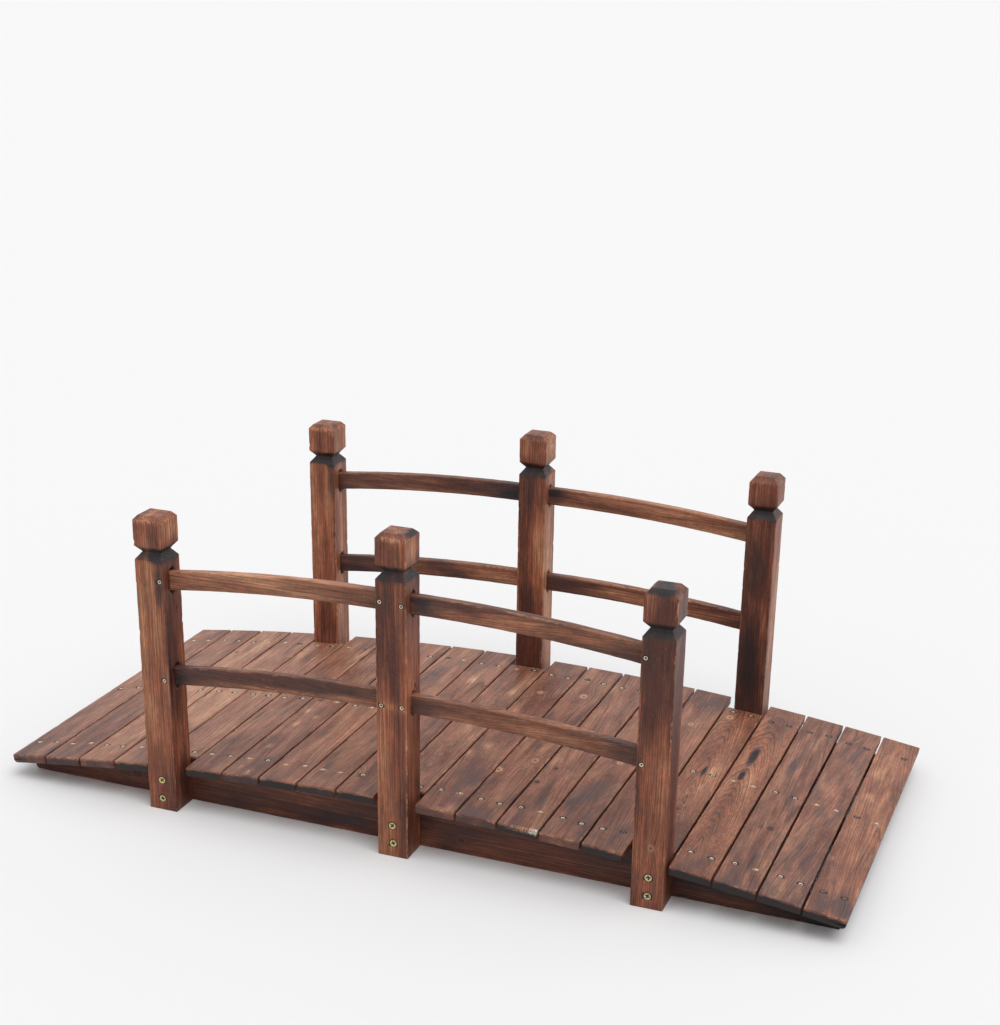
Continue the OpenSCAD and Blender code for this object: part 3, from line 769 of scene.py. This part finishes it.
for n, (soot_and_shade, lightness, burning, pith, leans, marks) in enumerate(PLANK_LOOKS):
    seed, tip = 301 + n, n in (0, PLANKS - 1)
    draw = np.random.default_rng(seed)
    half = SHORT_HALF if n in AT_POSTS else LONG_HALF
    fixed = [row + SEAT_GRID * np.arange(-5, 6) for row in SCREW_ROWS]
    place, inset, shrink = along_the_bar(marks_through(-half, half, 0.0058, *fixed), easing=0.0014)
    y = np.broadcast_to(place[:, None], (len(place), len(U))).copy()
    arris = 0.0010 + 0.0005 * np.clip(unevenness(seed, (y, 0.04), (side * 1.0, 0.8)), -1, 1)
    if tip:
        arris = np.where(side == (5 if n else 6), TIP_ARRIS, arris)
    chip = np.clip(unevenness(seed + 50, (y, 0.014), (side * 1.0, 0.7)) - 1.0, 0, 1)
    chip = np.minimum(0.0018 * chip * (side >= 4), 0.8 * arris)
    taken = inset[:, None]
    across = (U[:, 0] * (HALF_WIDE - arris - taken) + V[:, 0] * (arris - chip)) * shrink[:, None]
    across = across * (TIP_SHARE if tip else 1)
    up = (U[:, 1] * (HALF_THICK - arris - taken) + V[:, 1] * (arris - chip)) * shrink[:, None] - HALF_THICK

    angle = (n - (PLANKS - 1) / 2) * PITCH / DECK_RADIUS
    face = side == 0
    u, v, depth = across[:, face], y[:, face], np.zeros_like(y[:, face])
    shift, charred_and_shaded_seat, bare_seat = draw.normal(0, 0.0012), 0, 0
    for row in SCREW_ROWS:
        for way in (-1, 1):
            aim = (way * SCREW_OFF + shift + 0.0008 * draw.normal(), row + 0.0025 * draw.normal())
            u, v, dip = seated(u, v, (way * SCREW_GRID, row), aim, *DECK_SEAT)
            depth += dip
            # At random, each seat is either charred black or left raw. The charred seats are partly painted
            # shade: their black ring stands for the shade round the sunk head.
            burnt = draw.uniform() < (0.5 if n < 11 else 0.75)
            charred_and_shaded_seat, bare_seat = charred_and_shaded_seat + (dip > 0) * burnt, bare_seat + (dip > 0) * (not burnt)
            screw_places.append(("deck", *aim, angle, draw.uniform(0, 360), draw.uniform()))
    across[:, face], y[:, face] = u, v
    up[:, face] -= depth
    front_cut, back_cut = 0.0012 * draw.uniform(), 0.0012 * draw.uniform()
    kept = [-half + 0.05, half - 0.05]
    y = np.interp(y, [-half, *kept, half], [front_cut - half, *kept, half - back_cut])

    below = 0.0022 + 0.0004 * unevenness(seed + 7, (across, 0.012), (y, 0.3))
    end = np.clip((abs(y) - half + 0.0024) / 0.0012, 0, 1) * np.clip((-up - below) / 0.0016, 0, 1)
    near_end = np.clip((-0.1 - y) / 0.2, 0, 1) * (0.3 if n > 11 else 0.14)
    char = soot_and_shade + near_end + 0.2 * unevenness(seed + 3, (across, 0.03), (y, 0.12))
    char = np.minimum(char + marked(marks, "soot_and_shade", y, across), 0.75) + marked(marks, "eye", y, across, 3)
    char = np.maximum(char, end * burning)
    # Charred seats: black, partly as painted shade round the heads.
    char[:, face] = np.maximum(char[:, face], 1.5 * charred_and_shaded_seat) * (1 - bare_seat)
    tone = lightness - (0.25 if n > 10 else 0.1) - 0.8 * near_end
    tone = tone + 0.35 * unevenness(seed + 4, (across, 0.03), (y, 0.12)) + marked(marks, "tone", y, across)
    rub = (side >= 4) * np.clip(0.05 + 0.5 * unevenness(seed + 5, (y, 0.08), (side * 1.0, 0.7)), 0, 1)
    knocked = np.clip(1 - (half - abs(y)) / 0.003, 0, 1)
    knocked = knocked * np.clip(unevenness(seed + 6, (across, 0.025), (y, 0.3)), 0, 1) * (1 - end)
    rub = np.maximum(rub, knocked) + marked(marks, "wear_and_highlight", y, across)
    rub = rub * (up > (-0.007 if n == SPLINTERED else -0.004))
    rub[:, face] += 0.9 * bare_seat
    knot, fresh = from_knots(y, across, marks.get("knot", ()))
    wood = in_the_log(y, across, up, seed, pith, leans)
    x = across * np.cos(angle) + (DECK_RADIUS + up) * np.sin(angle)
    z = ARC_CENTRE + (DECK_RADIUS + up) * np.cos(angle) - across * np.sin(angle)
    name = f"plank_{n + 1:02d}"
    looks = dict(wood=wood, knot=knot, fresh=fresh, wear_and_highlight=rub, scorch_and_shade=char, tone=tone)
    fir = FIGURED_FIR if n in FIGURED else PLANK_FIR
    piece = skin(name + "_board", np.stack([x, y, z], -1), fir, **looks)
    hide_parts(name)

# Screws: steel with a yellow zinc coat, countersunk, with cross recesses. Two large ones hold each post to
# its stringer, smaller ones hold the rails in the posts, and two in each plank at every stringer hold the
# deck.
ZINC = bpy.data.materials.new("zinc_coat")
ZINC.use_nodes = True
coat = ZINC.node_tree.nodes["Principled BSDF"]
put, _, _, mixed, ramp = nodes_in(ZINC.node_tree)
tint, grime = (put("Attribute", out="Fac", attribute_name=name) for name in ("tint", "grime"))
hue, _ = ramp(tint, (0.0, swatch(212, 202, 130)), (1.0, swatch(234, 218, 204)))
scuff = put("TexNoise", put("TexCoord", out="Object"), None, 900.0)
# Where 'grime' rises the zinc turns dark brown: real grime on some screws, and painted shade in the recesses,
# round the rims and on the far right of the deck.
ZINC.node_tree.links.new(mixed(grime, hue, swatch(52, 36, 28)), coat.inputs["Base Color"])
ZINC.node_tree.links.new(put("MapRange", scuff, 0.0, 1.0, 0.28, 0.55), coat.inputs["Roughness"])
coat.inputs["Metallic"].default_value = 1.0


def screws(name, radius, origins, outs, turns, tints, extra_dirt_and_shade, around=24, arm=0.2):
    """Countersunk heads. A head is its profile of radius and height carried round its axis, with a cross sunk
    into the top: the depth is full where a point lies in either arm. Each head is then turned to its own
    direction."""
    r = np.array([0.12, 0.3, 0.46, 0.58, 0.68, 0.86, 0.95, 1.0, 0.97, 0.55, 0.42])
    down = np.array([0, 0, 0, 0, 0, 0, 0.02, 0.07, 0.13, 0.5, 0.52])
    a = np.radians(np.arange(around) * 360 / around)
    x, y = r[:, None] * np.cos(a), r[:, None] * np.sin(a)
    thin, long = np.minimum(abs(x), abs(y)), np.maximum(abs(x), abs(y))
    cross = np.clip((arm - thin) / 0.09, 0, 1) * np.clip((0.66 - long) / 0.12, 0, 1) * (down[:, None] == 0)
    z = -down[:, None] - 0.42 * cross
    turns = np.radians(turns)[:, None]
    side = np.cross(np.where(abs(outs[:, [2]]) > 0.5, [[0.0, 1.0, 0.0]], [[0.0, 0.0, 1.0]]), outs)
    side /= np.linalg.norm(side, axis=1, keepdims=True)
    along = np.cos(turns) * side + np.sin(turns) * np.cross(outs, side)
    off = np.cross(outs, along)
    heads = x[..., None] * along[:, None, None] + y[..., None] * off[:, None, None]
    heads = origins[:, None, None] + radius * (heads + z[..., None] * outs[:, None, None])
    # Painted shade: the cross recess and the rim of each head are darkened with the grime colour, for the
    # shade in them.
    dirt_and_shade_share = np.clip(cross * 1.2, 0, 1) + (down[:, None] > 0.01) * 0.8
    dirt_and_shade_share = np.clip(dirt_and_shade_share + extra_dirt_and_shade[:, None, None], 0, 1)
    skin(name, heads, ZINC, tint=np.broadcast_to(tints[:, None, None], dirt_and_shade_share.shape), grime=dirt_and_shade_share)


for kind, radius, sunk, paler in (("post", 0.0065, 0.0003, 0.0), ("rail", 0.0037, 0.0004, 0.5)):
    x, y, z, turns, luck = np.array([s[1:] for s in screw_places if s[0] == kind]).T
    outs = np.stack([0 * x, np.sign(y), 0 * x], -1)
    origins = np.stack([x, y, z], -1) - sunk * outs
    screws(f"{kind}_screws", radius, origins, outs, turns, 0.4 * luck + paler, 0.3 * luck, around=32)
for row, label in zip(SCREW_ROWS, ("front", "middle", "back")):
    chosen = [s[1:] for s in screw_places if s[0] == "deck" and abs(s[2] - row) < 0.05]
    beside, y, angle, turns, luck = np.array(chosen).T
    outs = np.stack([np.sin(angle), 0 * angle, np.cos(angle)], -1)
    over = np.stack([np.cos(angle), 0 * angle, -np.sin(angle)], -1)
    origins = (DECK_RADIUS - 0.0003) * outs + beside[:, None] * over
    origins = origins + np.array([0, 0, ARC_CENTRE]) + y[:, None] * [[0, 1, 0]]
    # A few screws are dirty at random. Those in the back row of the four planks on the right are darkened the
    # same way, as painted shade.
    extra_dirt_and_shade = 0.7 * ((luck > 0.85) | ((label == "back") & (angle * DECK_RADIUS > 6.5 * PITCH)))
    screws(f"deck_screws_{label}", 0.0038, origins, outs, turns, 0.7 + 0.3 * luck, extra_dirt_and_shade, arm=0.3)

# The stage: a wide pale floor that keeps the bridge's shadow, a white surround, and one soft lamp above and
# to the right. Floor and surround look nearly white, but light the bridge with less than they show.
SHOWN_FLOOR, SHOWN_WALL, BOUNCED = swatch(250, 250, 251), swatch(247, 247, 248), swatch(176, 174, 172)
SURROUND, FLOOR_HALF = 0.62, 40
corners = [(FLOOR_HALF * a, FLOOR_HALF * b, 0) for a, b in ((-1, -1), (1, -1), (1, 1), (-1, 1))]
floor_mesh = bpy.data.meshes.new("floor")
floor_mesh.from_pydata(corners, [], [(0, 1, 2, 3)])
floor = bpy.data.objects.new("floor", floor_mesh)
bpy.context.scene.collection.objects.link(floor)


def seen_or_not(tree, seen, other, socket):
    """Gives a socket one colour for the camera, in gloss and through glass, and another elsewhere."""
    put, sums, _, mixed, _ = nodes_in(tree)
    rays = ("Camera", "Glossy", "Transmission")
    camera, gloss, glass = (put("LightPath", out=f"Is {kind} Ray") for kind in rays)
    tree.links.new(mixed(sums("MAXIMUM", sums("MAXIMUM", camera, gloss), glass), other, seen), socket)


pale = bpy.data.materials.new("pale_floor")
pale.use_nodes = True
ground = pale.node_tree.nodes["Principled BSDF"]
ground.inputs["Roughness"].default_value = 0.9
ground.inputs["Specular IOR Level"].default_value = 0.1
seen_or_not(pale.node_tree, SHOWN_FLOOR, BOUNCED, ground.inputs["Base Color"])
floor_mesh.materials.append(pale)

world = bpy.data.worlds.new("surround")
bpy.context.scene.world = world
world.use_nodes = True
light = world.node_tree.nodes["Background"]
light.inputs["Strength"].default_value = 1.0
seen_or_not(world.node_tree, SHOWN_WALL, (SURROUND, SURROUND, SURROUND, 1), light.inputs["Color"])


def stood(name, data, right, up, back, at):
    """An object for the data, with its own X, Y and Z along three directions, and its origin at a place."""
    item = bpy.data.objects.new(name, data)
    bpy.context.scene.collection.objects.link(item)
    pose = np.eye(4)
    pose[:3] = np.column_stack([right, up, back, at])
    item.matrix_world = Matrix(pose.tolist())
    return item


LAMP_AT, LAMP_TOWARDS = np.array([1.0, -0.6, 3.0]), np.array([0, 0, 0.2])
key = bpy.data.lights.new("key_lamp", "SUN")
key.angle, key.energy = np.radians(50), 1.25
away = (LAMP_AT - LAMP_TOWARDS) / np.linalg.norm(LAMP_AT - LAMP_TOWARDS)
right = np.cross([0, 0, 1], away)
right /= np.linalg.norm(right)
stood("key_lamp", key, right, np.cross(away, right), away, LAMP_AT)

# The camera stands where the photograph's stood: right of the middle, looking down along the near railing.
# Its turns, its place, its focal length and its middle in pixels were fitted to points of the photograph.
YAW, PITCH_DOWN, ROLL = np.radians([-21.35, 21.83, -0.76])
CAMERA_AT = (1.106453, -2.732298, 1.429251)
FOCAL, MIDDLE_X, MIDDLE_Y, PICTURE_WIDE, PICTURE_HIGH = 1797.475, 492.652, 646.496, 1000, 1025
look = np.array([np.sin(YAW) * np.cos(PITCH_DOWN), np.cos(YAW) * np.cos(PITCH_DOWN), -np.sin(PITCH_DOWN)])
right = np.array([np.cos(YAW), -np.sin(YAW), 0])
down = np.cross(look, right)
right, down = np.cos(ROLL) * right + np.sin(ROLL) * down, np.cos(ROLL) * down - np.sin(ROLL) * right
lens = bpy.data.cameras.new("camera")
lens.sensor_width, lens.lens = 36, FOCAL * 36 / PICTURE_HIGH
lens.shift_x = (PICTURE_WIDE / 2 - MIDDLE_X) / PICTURE_HIGH
lens.shift_y = (MIDDLE_Y - PICTURE_HIGH / 2) / PICTURE_HIGH
lens.clip_end = 200
bpy.context.scene.camera = stood("camera", lens, right, -down, -look, CAMERA_AT)
bpy.context.scene.view_settings.view_transform = "Standard"
